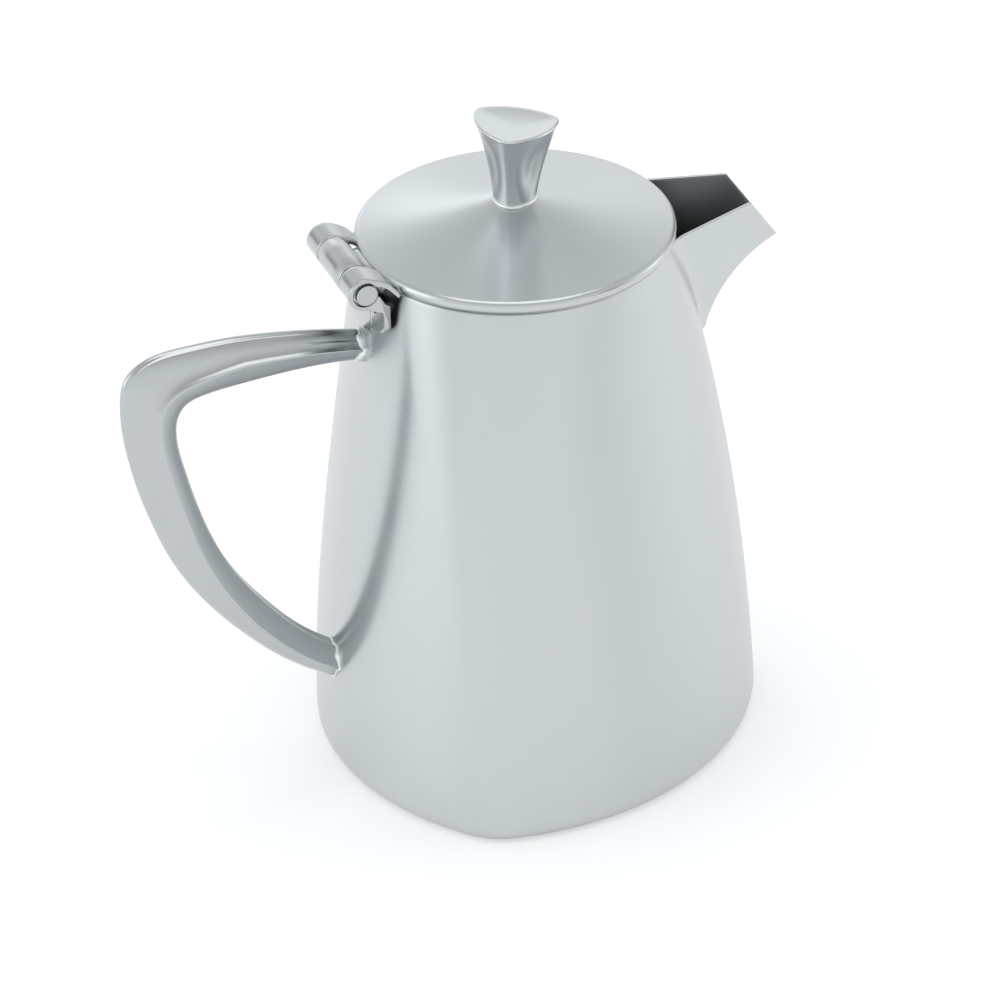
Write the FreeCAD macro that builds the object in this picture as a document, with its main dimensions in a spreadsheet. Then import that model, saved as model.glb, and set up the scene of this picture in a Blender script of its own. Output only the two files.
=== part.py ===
import FreeCAD, Part
import math
import os
import Sketcher

# A stainless steel coffee pot with a hinged lid, in millimetres.
# Origin: middle of the base on the surface it stands on.
# +Z up, +X towards the spout, -X towards the handle.
# The body is a rounded triangle in plan at the foot, with one corner under the
# spout and a flat side behind the handle, and it becomes a circle at the mouth.

doc = FreeCAD.newDocument("coffee_pot")
Vector = FreeCAD.Vector

DIMENSIONS = (
    # body
    ("body_height", 123.0),
    ("mouth_radius", 33.92),
    ("flare_height", 124.73),
    ("wall", 0.8),
    ("foot_corner_flare", 19.26),
    ("corner_swell", 15.46),
    ("corner_ease", 0.61),
    ("foot_side_flare", 12.92),
    ("side_swell", 13.12),
    ("side_ease", 15.52),
    ("foot_corner_round", 15.61),
    ("round_growth", 1.56),
    ("foot_edge_round", 2.9),
    ("pan_height", 5.0),
    # spout
    ("spout_wall", 0.8),
    ("lip_top_x", 52.4),
    ("lip_top_z", 123.3),
    ("lip_tip_x", 61.2),
    ("lip_tip_z", 110.1),
    ("lip_half_width", 6.8),
    ("throat_half_width", 17.2),
    ("keel_belly_x", 52.3),
    ("keel_belly_z", 104.2),
    ("keel_foot_x", 43.9),
    ("keel_foot_z", 90.7),
    ("keel_round", 1.2),
    # lid
    ("lid_offset", 0.35),
    ("lid_radius", 35.0),
    ("lid_edge_bottom", 123.3),
    ("lid_edge_height", 2.7),
    ("lid_crown", 132.6),
    ("lid_sheet", 0.8),
    ("lid_roll", 1.15),
    ("lid_lip", 2.0),
    ("lid_sag", 0.7),
    ("crown_radius", 5.0),
    ("ring_radius", 32.6),
    ("ring_sheet", 0.6),
    ("ring_flange", 3.6),
    ("ring_gap", 0.02),
    ("ring_bottom", 119.5),
    # knob
    ("knob_height", 17.7),
    ("knob_base_corner", 5.1),
    ("knob_top_corner", 10.2),
    ("knob_base_side", 4.45),
    ("knob_top_side", 8.2),
    ("knob_base_round", 2.4),
    ("knob_top_round", 3.3),
    ("knob_flare", 1.3),
    ("knob_lean", 0.5),
    ("knob_dish", 0.55),
    ("dish_radius", 60.0),
    ("tilt_forward", 0.104),
    ("tilt_aside", 0.021),
    ("knob_bead", 0.9),
    # hinge
    ("hinge_x", -38.95),
    ("hinge_z", 124.3),
    ("barrel_radius", 3.75),
    ("hinge_length", 27.6),
    ("lid_knuckle", 13.4),
    ("knuckle_gap", 0.3),
    ("pin_radius", 2.8),
    ("pin_fit", 0.02),
    ("pin_running", 0.08),
    ("pin_recess", 0.1),
    ("plate_front", -36.3),
    ("plate_end", -34.95),
    ("plate_sheet", 1.4),
    ("plate_bottom", 110.2),
    ("plate_end_bottom", 114.1),
    ("plate_top", 120.5),
    ("plate_flat", 8.0),
    ("plate_hole_apart", 14.0),
    ("plate_hole_height", 116.3),
    ("plate_hole_radius", 0.7),
    ("tab_width", 9.6),
    ("sweep_angle", 116.0),
    ("lid_clearance", 0.3),
    # handle
    ("handle_end_width", 7.6),
    ("handle_grip_width", 10.0),
    ("weld_bead", 0.55),
)


def make_sheet():
    """The spreadsheet of driving dimensions: a name in A, its value in B."""
    sheet = doc.addObject("Spreadsheet::Sheet", "dims")
    for row, (name, value) in enumerate(DIMENSIONS, start=1):
        sheet.set("A%d" % row, name)
        sheet.set("B%d" % row, str(value))
        sheet.setAlias("B%d" % row, name)
    doc.recompute()
    return sheet


dims = make_sheet()


def size(name):
    """A driving dimension, read from the sheet."""
    return float(dims.get(name))


# ---------------------------------------------------------------- sketch help

def origin_plane(body, role):
    """One of a body's own origin planes."""
    return [item for item in body.Origin.OriginFeatures if item.Role == role][0]


def new_body(name):
    """An empty PartDesign body."""
    return doc.addObject("PartDesign::Body", name)


def new_sketch(body, role, name, offset=0.0):
    """A sketch on one of the body's origin planes, moved along its normal."""
    sketch = body.newObject("Sketcher::SketchObject", name)
    sketch.AttachmentSupport = [(origin_plane(body, role), "")]
    sketch.MapMode = "FlatFace"
    sketch.AttachmentOffset = FreeCAD.Placement(Vector(0, 0, offset), FreeCAD.Rotation())
    return sketch


def outline(sketch, points):
    """A closed outline of straight lines with its corners joined."""
    count = len(points)
    corners = [Vector(x, y, 0) for x, y in points]
    first = sketch.GeometryCount
    for index in range(count):
        line = Part.LineSegment(corners[index], corners[(index + 1) % count])
        sketch.addGeometry(line, False)
    for index in range(count):
        following = (index + 1) % count
        joint = Sketcher.Constraint("Coincident", first + index, 2, first + following, 1)
        sketch.addConstraint(joint)


def circle(sketch, centre, alias, extra=""):
    """A circle whose radius is bound to a cell of the sheet."""
    radius = size(alias)
    ring = Part.Circle(Vector(centre[0], centre[1], 0), Vector(0, 0, 1), radius)
    number = sketch.addGeometry(ring, False)
    name = "radius_" + str(number)
    bound = sketch.addConstraint(Sketcher.Constraint("Radius", number, radius))
    sketch.renameConstraint(bound, name)
    sketch.setExpression("Constraints." + name, "dims." + alias + extra)


def pad(body, sketch, name, alias):
    """A pad to both sides of the sketch, as long as a cell of the sheet says."""
    feature = body.newObject("PartDesign::Pad", name)
    feature.Profile = sketch
    feature.Midplane = True
    feature.setExpression("Length", "dims." + alias)
    doc.recompute()
    return feature


def pocket(body, sketch, name, length):
    """A pocket to both sides of the sketch; it has to take material away."""
    before = body.Shape.Volume
    feature = body.newObject("PartDesign::Pocket", name)
    feature.Profile = sketch
    feature.Midplane = True
    feature.setExpression("Length", length)
    doc.recompute()
    assert body.Shape.Volume < before - 1e-3, name + " cuts nothing"
    return feature


def shape_feature(name, shape):
    """A Part::Feature that holds a shape worked out from the sheet's sizes."""
    feature = doc.addObject("Part::Feature", name)
    feature.Shape = shape
    feature.Placement = FreeCAD.Placement()
    return feature


def cut(name, base, tool):
    """A Part::Cut of two objects of the document."""
    feature = doc.addObject("Part::Cut", name)
    feature.Base = base
    feature.Tool = tool
    doc.recompute()
    return feature


# --------------------------------------------------- rounded triangle section

def rounded_triangle(corner, side, rounding, z, inset=0.0, centre_x=0.0):
    """A closed wire of three corner arcs and three flatter side arcs.

    corner and side are the distances from the axis to a corner and to the
    middle of a side, rounding is the corner radius, and inset moves the whole
    outline inwards by the thickness of a wall.
    """
    reach = corner - rounding
    flat = side - rounding
    back = (reach ** 2 - flat ** 2) / (2.0 * flat - reach)
    joins = []
    middles = []
    for index in range(3):
        turn = math.radians(120.0 * index)
        tip = Vector(math.cos(turn), math.sin(turn), 0)
        corner_centre = tip * reach
        tangents = []
        for step in (-60.0, 60.0):
            normal_turn = turn + math.radians(step)
            normal = Vector(math.cos(normal_turn), math.sin(normal_turn), 0)
            away = corner_centre + normal * back
            away.normalize()
            tangents.append(corner_centre + away * (rounding - inset))
        joins.append(tangents)
        middles.append(tip * (corner - inset))
    edges = []
    shift = Vector(centre_x, 0, z)
    for index in range(3):
        start, end = joins[index]
        arc = Part.Arc(start + shift, middles[index] + shift, end + shift)
        edges.append(arc.toShape())
        side_turn = math.radians(120.0 * index + 60.0)
        side_middle = Vector(math.cos(side_turn), math.sin(side_turn), 0) * (side - inset)
        following = joins[(index + 1) % 3][0]
        flank = Part.Arc(end + shift, side_middle + shift, following + shift)
        edges.append(flank.toShape())
    return Part.Wire(edges)


def body_section(z):
    """Corner distance, side distance and corner radius of the body at a height."""
    full = size("flare_height")
    mouth = size("mouth_radius")
    rise = z / full
    left = 1.0 - rise
    corner_flare = size("foot_corner_flare") + size("corner_swell") * rise + size("corner_ease") * rise ** 2
    side_flare = size("foot_side_flare") + size("side_swell") * rise - size("side_ease") * rise ** 2
    foot_round = size("foot_corner_round")
    rounding = foot_round + (mouth - foot_round) * rise ** size("round_growth")
    return mouth + left * corner_flare, mouth + left * side_flare, rounding


def body_loft(bottom, top, inset):
    """A solid through the body's sections, from one height to another."""
    count = 9
    wires = []
    for index in range(count):
        z = bottom + (top - bottom) * index / (count - 1.0)
        corner, side, rounding = body_section(z)
        wires.append(rounded_triangle(corner, side, rounding, z, inset))
    return Part.makeLoft(wires, True, False)


def round_foot(solid, z, radius):
    """The solid with the edges that lie at a height rounded."""
    low = [edge for edge in solid.Edges if edge.BoundBox.ZMax < z + 1e-3]
    return solid.makeFillet(radius, low)


# ----------------------------------------------------------------------- body

def make_body():
    """The pot's outside and inside solids, the drawn wall and the bottom pan."""
    height = size("body_height")
    wall = size("wall")
    edge_round = size("foot_edge_round")
    outside = round_foot(body_loft(0.0, height, 0.0), 0.0, edge_round)
    inside = round_foot(body_loft(wall, height + 0.5, wall), wall, edge_round - wall)
    outer = shape_feature("body_outside", outside)
    inner = shape_feature("body_inside", inside)
    shell = cut("drawn_shell", outer, inner)
    split = doc.addObject("Part::Box", "pan_region")
    split.setExpression("Height", "dims.pan_height")
    split.Length = 160.0
    split.Width = 160.0
    split.Placement = FreeCAD.Placement(Vector(-80, -80, 0), FreeCAD.Rotation())
    pan = doc.addObject("Part::Common", "base_pan")
    pan.Base = shell
    pan.Tool = split
    wall_part = cut("open_wall", shell, split)
    return outer, inner, pan, wall_part


# ---------------------------------------------------------------------- spout

def profile_point(name):
    """A point of the spout's side profile, in the plane y = 0."""
    return Vector(size(name + "_x"), 0, size(name + "_z"))


def lip_directions():
    """The direction down the slanted lip, and the direction that it faces."""
    down = profile_point("lip_tip") - profile_point("lip_top")
    down.normalize()
    return down, Vector(-down.z, 0, down.x)


def keel_point(distance):
    """The underside's point that lies a distance behind the plane of the lip."""
    tip = profile_point("lip_tip")
    curve = Part.BSplineCurve()
    curve.interpolate([tip, profile_point("keel_belly"), profile_point("keel_foot")])
    facing = lip_directions()[1]
    low, high = curve.FirstParameter, curve.LastParameter
    for _ in range(40):
        middle = 0.5 * (low + high)
        if (tip - curve.value(middle)).dot(facing) < distance:
            low = middle
        else:
            high = middle
    beyond = distance - (tip - curve.value(low)).dot(facing)
    return curve.value(low) - facing * beyond


def spout_section(distance, inset, above):
    """A V in a plane parallel to the lip: keel, right rim and left rim."""
    down, facing = lip_directions()
    depth = (profile_point("lip_tip") - profile_point("keel_foot")).dot(facing)
    share = distance / depth
    rounded_keel = keel_point(distance)
    rim_z = size("lip_top_z") - 1.3 * share
    lip_half = size("lip_half_width")
    half = lip_half + (size("throat_half_width") - lip_half) * share
    lean = math.atan2(half, (rounded_keel.z - rim_z) / down.z)
    keel = rounded_keel + down * size("keel_round") * (1.0 / math.sin(lean) - 1.0)
    inner_keel = keel - down * (inset / math.sin(lean))
    reach = (keel.z - rim_z) / down.z + above - inset / math.sin(lean)
    rim_half = reach * math.tan(lean)
    rim = inner_keel - down * reach
    corners = [inner_keel, rim + Vector(0, rim_half, 0), rim - Vector(0, rim_half, 0)]
    return Part.makePolygon(corners + [inner_keel])


def spout_solid(first, inset, above):
    """A solid V from a distance before the lip to well inside the pot."""
    distances = (first, 6.0, 13.0, 20.0, 25.0, 31.0)
    wires = [spout_section(distance, inset, above) for distance in distances]
    solid = Part.makeLoft(wires, True, False)
    keel = [edge for edge in solid.Edges if edge.BoundBox.YLength < 1e-3 and edge.BoundBox.XLength > 5.0]
    return solid.makeFillet(size("keel_round") - inset, keel)


def make_spout(outer):
    """The folded beak outside the pot, and the channel that opens the wall."""
    beak = shape_feature("beak_outside", spout_solid(0.0, 0.0, 0.0))
    channel = shape_feature("beak_inside", spout_solid(-1.0, size("spout_wall"), 4.0))
    sheet_metal = cut("beak_sheet", beak, channel)
    mouth = doc.addObject("Part::Cylinder", "mouth_column")
    mouth.setExpression("Radius", "dims.mouth_radius")
    mouth.Height = 20.0
    mouth.setExpression("Placement.Base.z", "dims.body_height - 10")
    hidden = doc.addObject("Part::Fuse", "inside_pot")
    hidden.Base = outer
    hidden.Tool = mouth
    doc.recompute()
    return cut("spout", sheet_metal, hidden), channel


# ------------------------------------------------------------------------ lid

def on_lid(item):
    """Places a piece that is drawn about the Z axis at the middle of the lid."""
    item.setExpression("Placement.Base.x", "dims.lid_offset")
    doc.recompute()
    return item


def lid_arc():
    """The crown's edge, the low point and the rim of the lid's hollow slope."""
    rim_height = size("lid_edge_bottom") + size("lid_edge_height")
    rim = Vector(size("lid_radius") - size("lid_roll"), rim_height, 0)
    crown = Vector(size("crown_radius"), size("lid_crown"), 0)
    middle = (rim + crown) * 0.5
    chord = rim - crown
    outward = Vector(-chord.y, chord.x, 0)
    outward.normalize()
    low = middle - outward * size("lid_sag")
    return crown, low, rim


def lid_underside(radius):
    """Height of the lid sheet's underside at a distance from the axis."""
    crown, low, rim = lid_arc()
    arc = Part.Arc(crown, low, rim).toShape().Curve
    centre = arc.Center
    below = arc.Radius + size("lid_sheet")
    return centre.y - math.sqrt(below ** 2 - (radius - centre.x) ** 2)


def revolved(name, section):
    """A PartDesign body: a section in the XZ plane turned about the Z axis."""
    body = new_body(name)
    sketch = new_sketch(body, "XZ_Plane", name + "_section")
    section(sketch)
    feature = body.newObject("PartDesign::Revolution", name + "_turned")
    feature.Profile = sketch
    feature.ReferenceAxis = (sketch, ["V_Axis"])
    feature.Angle = 360.0
    return on_lid(body)


def lid_section(sketch):
    """Half of the lid: flat crown, shallow hollow cone and a rolled edge."""
    crown, low, rim = lid_arc()
    sheet_metal = size("lid_sheet")
    bottom = size("lid_edge_bottom")
    top = size("lid_crown")
    radius = size("lid_radius")
    inner = radius - size("lid_lip")
    middle = 0.5 * (crown.x + inner)
    centre = Vector(0, top, 0)
    centre_under = Vector(0, top - sheet_metal, 0)
    crown_under = Vector(crown.x, lid_underside(crown.x), 0)
    middle_under = Vector(middle, lid_underside(middle), 0)
    inner_under = Vector(inner, lid_underside(inner), 0)
    inner_bottom = Vector(inner, bottom, 0)
    rim_bottom = Vector(rim.x, bottom, 0)
    parts = [
        Part.LineSegment(centre, crown),
        Part.Arc(crown, low, rim),
        Part.Arc(rim, Vector(radius, 0.5 * (rim.y + bottom), 0), rim_bottom),
        Part.LineSegment(rim_bottom, inner_bottom),
        Part.LineSegment(inner_bottom, inner_under),
        Part.Arc(inner_under, middle_under, crown_under),
        Part.LineSegment(crown_under, centre_under),
        Part.LineSegment(centre_under, centre),
    ]
    for part in parts:
        sketch.addGeometry(part, False)


def ring_section(sketch):
    """Half of the locating ring: a short skirt with a flange under the lid."""
    radius = size("ring_radius")
    thick = size("ring_sheet")
    gap = size("ring_gap")
    flange = radius - size("ring_flange")
    outline(sketch, [
        (flange, lid_underside(flange) - gap),
        (radius, lid_underside(radius) - gap),
        (radius, size("ring_bottom")),
        (radius - thick, size("ring_bottom")),
        (radius - thick, lid_underside(radius - thick) - thick),
        (flange, lid_underside(flange) - thick),
    ])


def between(low, high, share):
    """A size that is a share of the way from one named size to another."""
    return size(low) + (size(high) - size(low)) * share


def knob_section(share, extra=0.0):
    """The knob's rounded triangle at a share of its height."""
    flare = share ** size("knob_flare")
    corner = between("knob_base_corner", "knob_top_corner", flare)
    side = between("knob_base_side", "knob_top_side", flare)
    rounding = between("knob_base_round", "knob_top_round", flare)
    z = size("lid_crown") + size("knob_height") * share
    lean = size("knob_lean") * flare
    return rounded_triangle(corner + extra, side + extra, rounding + extra, z, 0.0, lean)


def make_knob():
    """The cast knob that flares to a dished, tilted top, and its weld bead."""
    shares = (0.0, 0.08, 0.2, 0.35, 0.5, 0.7, 0.9, 1.12)
    solid = Part.makeLoft([knob_section(share) for share in shares], True, False)
    radius = size("dish_radius")
    aside_x = size("tilt_forward") * radius
    aside_y = size("tilt_aside") * radius
    drop = (aside_x ** 2 + aside_y ** 2) / (2.0 * radius)
    middle = size("lid_crown") + size("knob_height") + 0.5 - size("knob_dish")
    dish = Part.makeSphere(radius, Vector(aside_x, aside_y, middle + radius - drop))
    knob = on_lid(shape_feature("lid_knob", solid.cut(dish)))
    bead = size("knob_bead")
    bead_share = bead / size("knob_height")
    wires = [knob_section(0.0, bead), knob_section(bead_share, 0.15)]
    ring = Part.makeLoft(wires, True, True)
    raw = on_lid(shape_feature("knob_bead_solid", ring))
    weld = cut("knob_weld", raw, knob)
    return knob, weld


# ---------------------------------------------------------------------- hinge

def hinge_point(radius, degrees):
    """A point at a radius and an angle about the hinge axis, in x and z."""
    turn = math.radians(degrees)
    return size("hinge_x") + radius * math.cos(turn), size("hinge_z") + radius * math.sin(turn)


def make_bracket(outer):
    """The folded bracket: two outer knuckles, two straps and a curved plate."""
    axis = (size("hinge_x"), size("hinge_z"))
    barrel = size("barrel_radius")
    body = new_body("bracket_blank")
    knuckles = new_sketch(body, "XZ_Plane", "knuckle_circle")
    circle(knuckles, axis, "barrel_radius")
    pad(body, knuckles, "knuckle_pad", "hinge_length")
    straps = new_sketch(body, "XZ_Plane", "strap_outline")
    outline(straps, [
        hinge_point(barrel - 0.01, 80.0),
        (-35.6, 127.1),
        (-33.4, 125.8),
        (-29.0, 121.4),
        (-29.6, 120.3),
        (-33.9, 124.6),
        (-36.3, 125.7),
        hinge_point(barrel - 1.0, 50.0),
    ])
    pad(body, straps, "strap_pad", "hinge_length")
    plate_pad(body)
    web = new_sketch(body, "XZ_Plane", "web_outline")
    end = size("plate_end")
    sheet_metal = size("plate_sheet")
    top = size("plate_top")
    outline(web, [
        hinge_point(barrel - 0.3, 240.0),
        hinge_point(barrel - 0.6, 300.0),
        hinge_point(barrel - 0.6, 340.0),
        (end + 0.4, top + 0.5),
        (end + sheet_metal, top),
        (end + sheet_metal, top - 1.5),
        (end, top - 2.4),
    ])
    pad(body, web, "web_pad", "hinge_length")
    trim_plate(body)
    open_roll(body)
    bore_bracket(body, axis)
    clear_lid(body)
    return cut("hinge_bracket", body, outer)


def plate_pad(body):
    """The plate between the knuckles and the handle, bent to follow the wall."""
    half = 0.5 * size("hinge_length")
    front = size("plate_front")
    end = size("plate_end")
    sheet_metal = size("plate_sheet")
    bottom = size("plate_bottom")
    sketch = new_sketch(body, "XY_Plane", "plate_outline", 0.5 * (size("plate_top") + bottom))
    front_left = Vector(end, half, 0)
    front_right = Vector(end, -half, 0)
    back_left = Vector(end + sheet_metal, half, 0)
    back_right = Vector(end + sheet_metal, -half, 0)
    sketch.addGeometry(Part.Arc(front_left, Vector(front, 0, 0), front_right), False)
    sketch.addGeometry(Part.LineSegment(front_right, back_right), False)
    sketch.addGeometry(Part.Arc(back_right, Vector(front + sheet_metal, 0, 0), back_left), False)
    sketch.addGeometry(Part.LineSegment(back_left, front_left), False)
    feature = body.newObject("PartDesign::Pad", "plate_pad")
    feature.Profile = sketch
    feature.Midplane = True
    feature.setExpression("Length", "dims.plate_top - dims.plate_bottom")
    doc.recompute()


def trim_plate(body):
    """The plate's lower edge, which rises to both ends, and its two holes."""
    half = 0.5 * size("hinge_length")
    flat = 0.5 * size("plate_flat")
    bottom = size("plate_bottom")
    end_bottom = size("plate_end_bottom")
    below = bottom - 1.0
    beyond = half + 1.0
    corners = new_sketch(body, "YZ_Plane", "plate_corners")
    for side in (-1, 1):
        outline(corners, [
            (side * flat, bottom),
            (side * flat, below),
            (side * beyond, below),
            (side * beyond, end_bottom),
            (side * half, end_bottom),
        ])
    pocket(body, corners, "corner_cut", "100")
    holes = new_sketch(body, "YZ_Plane", "plate_holes")
    for side in (-0.5, 0.5):
        middle = (side * size("plate_hole_apart"), size("plate_hole_height"))
        circle(holes, middle, "plate_hole_radius")
    pocket(body, holes, "hole_cut", "100")


def open_roll(body):
    """The gap in each rolled knuckle, on the side that faces the pot."""
    bore = size("pin_radius")
    opening = new_sketch(body, "XZ_Plane", "roll_opening")
    outline(opening, [
        hinge_point(0.7 * bore, 348.0),
        hinge_point(bore + 1.6, 348.0),
        (-34.6, 124.9),
        (-36.3, 125.68),
        hinge_point(0.7 * bore, 30.0),
    ])
    pocket(body, opening, "roll_gap", "100")


def bore_bracket(body, axis):
    """The pin's bore and the notch for the lid's knuckle."""
    notch = new_sketch(body, "XZ_Plane", "notch_circle")
    circle(notch, axis, "barrel_radius", " + dims.knuckle_gap")
    pocket(body, notch, "notch_round", "dims.lid_knuckle + 2 * dims.knuckle_gap")
    above = new_sketch(body, "XZ_Plane", "notch_above")
    low = size("hinge_z") - 1.8
    outline(above, [(-46.0, low), (-46.0, 132.0), (-28.0, 132.0), (-28.0, low)])
    pocket(body, above, "notch_top", "dims.lid_knuckle + 2 * dims.knuckle_gap")
    bore = new_sketch(body, "XZ_Plane", "bore_circle")
    circle(bore, axis, "pin_radius", " + dims.pin_fit")
    pocket(body, bore, "bore_cut", "dims.hinge_length + 2")


def clear_lid(body):
    """The room that the lid's edge sweeps as it opens, cut from the straps."""
    level = size("lid_edge_bottom") - size("lid_clearance")
    radius = size("lid_radius") + size("lid_clearance")
    middle = size("lid_offset")
    inner_x = -25.0
    reach = math.sqrt(radius ** 2 - (inner_x - middle) ** 2)
    sweep = new_sketch(body, "XY_Plane", "lid_edge", level)
    top = Vector(inner_x, reach, 0)
    low = Vector(inner_x, -reach, 0)
    sweep.addGeometry(Part.Arc(top, Vector(middle - radius, 0, 0), low), False)
    sweep.addGeometry(Part.LineSegment(low, top), False)
    hinge_line = Part.LineSegment(Vector(size("hinge_x"), -20, 0), Vector(size("hinge_x"), 20, 0))
    sweep.addGeometry(hinge_line, True)
    before = body.Shape.Volume
    groove = body.newObject("PartDesign::Groove", "lid_sweep")
    groove.Profile = sweep
    groove.ReferenceAxis = (sweep, ["Axis0"])
    groove.setExpression("Angle", "dims.sweep_angle")
    groove.Reversed = True
    doc.recompute()
    assert body.Shape.Volume < before - 1e-3, "the lid's sweep cuts nothing"


def make_leaf(lid):
    """The lid's knuckle with the short tab that joins it to the lid's edge."""
    axis = (size("hinge_x"), size("hinge_z"))
    body = new_body("leaf_blank")
    knuckle = new_sketch(body, "XZ_Plane", "leaf_circle")
    circle(knuckle, axis, "barrel_radius")
    pad(body, knuckle, "leaf_knuckle", "lid_knuckle")
    tab = new_sketch(body, "XZ_Plane", "tab_outline")
    barrel = size("barrel_radius")
    outline(tab, [
        hinge_point(barrel - 0.1, 22.0),
        (-33.8, 125.6),
        (-33.8, 124.2),
        hinge_point(barrel - 0.1, 355.0),
    ])
    pad(body, tab, "tab_pad", "tab_width")
    bore = new_sketch(body, "XZ_Plane", "leaf_bore")
    circle(bore, axis, "pin_radius", " + dims.pin_running")
    pocket(body, bore, "leaf_bore_cut", "dims.lid_knuckle + 2")
    return cut("lid_hinge_leaf", body, lid)


def make_pin():
    """The hinge pin, with its ends a little inside the outer knuckles."""
    body = new_body("hinge_pin")
    section = new_sketch(body, "XZ_Plane", "pin_circle")
    circle(section, (size("hinge_x"), size("hinge_z")), "pin_radius")
    rod = body.newObject("PartDesign::Pad", "pin_rod")
    rod.Profile = section
    rod.Midplane = True
    rod.setExpression("Length", "dims.hinge_length - 2 * dims.pin_recess")
    doc.recompute()
    ends = [name for name, edge in edge_names(body.Shape) if edge.Closed]
    chamfer = body.newObject("PartDesign::Chamfer", "pin_ends")
    chamfer.Base = (rod, ends)
    chamfer.Size = 0.25
    doc.recompute()
    return body


def edge_names(shape):
    """Each edge of a shape with the name that a feature selects it by."""
    return [("Edge%d" % number, edge) for number, edge in enumerate(shape.Edges, start=1)]


# --------------------------------------------------------------------- handle

# The handle's side profile: a point on the outer ridge and the point across
# from it on the inner face, from the hinge's end round to the foot's end.
HANDLE_STATIONS = (
    ((-32.5, 107.0), (-32.5, 101.4)),
    ((-43.1, 109.6), (-43.5, 102.6)),
    ((-54.0, 111.5), (-54.5, 102.8)),
    ((-65.0, 112.7), (-65.2, 102.3)),
    ((-76.0, 112.8), (-74.2, 101.2)),
    ((-84.6, 111.6), (-77.6, 99.6)),
    ((-89.3, 108.2), (-79.0, 97.4)),
    ((-91.0, 101.5), (-79.6, 94.0)),
    ((-90.8, 94.0), (-79.4, 90.2)),
    ((-89.2, 84.0), (-78.5, 85.4)),
    ((-86.4, 73.4), (-76.2, 75.9)),
    ((-81.9, 61.0), (-72.6, 64.8)),
    ((-75.2, 49.2), (-67.6, 54.5)),
    ((-66.0, 37.8), (-59.9, 43.6)),
    ((-55.4, 27.9), (-50.7, 33.9)),
    ((-43.5, 20.4), (-39.8, 26.4)),
)


# Half of the handle's section, as shares of its half width and of its depth:
# narrow inner face, widest half of the way out, then straight to the ridge.
HALF_PROFILE = ((0.34, 0.0), (0.66, 0.14), (0.92, 0.36), (0.98, 0.54), (0.62, 0.78), (0.24, 0.98))


def handle_section(outer, inner, width):
    """A rounded triangle across the handle: a blunt outer ridge, a flat inside."""
    ridge = Vector(outer[0], 0, outer[1])
    base = Vector(inner[0], 0, inner[1])
    depth = ridge - base
    side = Vector(0, 1, 0)
    right = [base + depth * up + side * (0.5 * width * out) for out, up in HALF_PROFILE]
    left = [Vector(point.x, -point.y, point.z) for point in reversed(right)]
    curve = Part.BSplineCurve()
    curve.interpolate([base] + right + [ridge] + left, PeriodicFlag=True)
    return Part.Wire([curve.toShape()])


def handle_width(share):
    """The handle's width at a share of its length: slimmer at both ends."""
    end = size("handle_end_width")
    grip = size("handle_grip_width")
    return end + (grip - end) * math.sin(math.pi * min(1.0, max(0.0, share))) ** 0.8


def make_handle(outer):
    """The cast handle, from the body's wall under the hinge to its foot."""
    last = len(HANDLE_STATIONS) - 1.0
    wires = []
    for number, (ridge, inner) in enumerate(HANDLE_STATIONS):
        wires.append(handle_section(ridge, inner, handle_width(number / last)))
    degree = 2
    blank = shape_feature("handle_blank", Part.makeLoft(wires, True, False, False, degree))
    return cut("handle", blank, outer)


def grown_section(ridge, inner, growth):
    """A section of the handle's end made larger all round."""
    depth = Vector(ridge[0] - inner[0], 0, ridge[1] - inner[1])
    depth.normalize()
    outer_point = (ridge[0] + depth.x * growth, ridge[1] + depth.z * growth)
    inner_point = (inner[0] - depth.x * growth, inner[1] - depth.z * growth)
    return handle_section(outer_point, inner_point, size("handle_end_width") + 2.0 * growth)


def make_weld(name, outer, handle, inside, outside):
    """A weld bead round one end of the handle, where it meets the body."""
    bead = size("weld_bead")
    wires = [grown_section(inside[0], inside[1], 2.0 * bead), grown_section(outside[0], outside[1], 0.15)]
    blank = shape_feature(name + "_blank", Part.makeLoft(wires, True, True))
    trimmed = cut(name + "_trimmed", blank, outer)
    return cut(name, trimmed, handle)


# Vertical sections of the handle's two ends, inside the body's wall and
# outside it: the point on the outer ridge and the one on the inner face.
UPPER_WELD = (((-34.0, 107.4), (-34.0, 101.5)), ((-37.4, 108.1), (-37.4, 101.9)))
LOWER_WELD = (((-44.6, 21.1), (-44.6, 29.7)), ((-47.4, 22.9), (-47.4, 31.5)))


# ------------------------------------------------------------------- assembly

def build():
    """All the sub-parts, each an object whose label names its file."""
    outer, inner, pan, open_wall = make_body()
    spout, channel = make_spout(outer)
    wall = cut("body_wall", open_wall, channel)
    lid = revolved("lid_cover", lid_section)
    ring = revolved("lid_ring", ring_section)
    knob, knob_weld = make_knob()
    bracket = make_bracket(outer)
    leaf = make_leaf(lid)
    pin = make_pin()
    handle = make_handle(outer)
    upper = make_weld("handle_upper_weld", outer, handle, *UPPER_WELD)
    lower = make_weld("handle_lower_weld", outer, handle, *LOWER_WELD)
    return [pan, wall, spout, lid, ring, knob, knob_weld, bracket, leaf, pin, handle, upper, lower]


def export(parts):
    """Checks every object of the document and writes each sub-part's file."""
    doc.recompute()
    for item in doc.Objects:
        failed = "Invalid" in item.State or "Error" in item.State
        assert not failed, item.Name + " did not build"
    os.makedirs("parts", exist_ok=True)
    for part in parts:
        shape = part.Shape
        assert not shape.isNull() and shape.isValid(), part.Label + " has no valid shape"
        shape.exportStep("parts/" + part.Label + ".step")
        print(part.Label, len(shape.Solids), "solid,", round(shape.Volume, 1), "mm3")


export(build())
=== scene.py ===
import math

import bpy
import numpy as np
from mathutils import Matrix, Vector, noise


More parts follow.
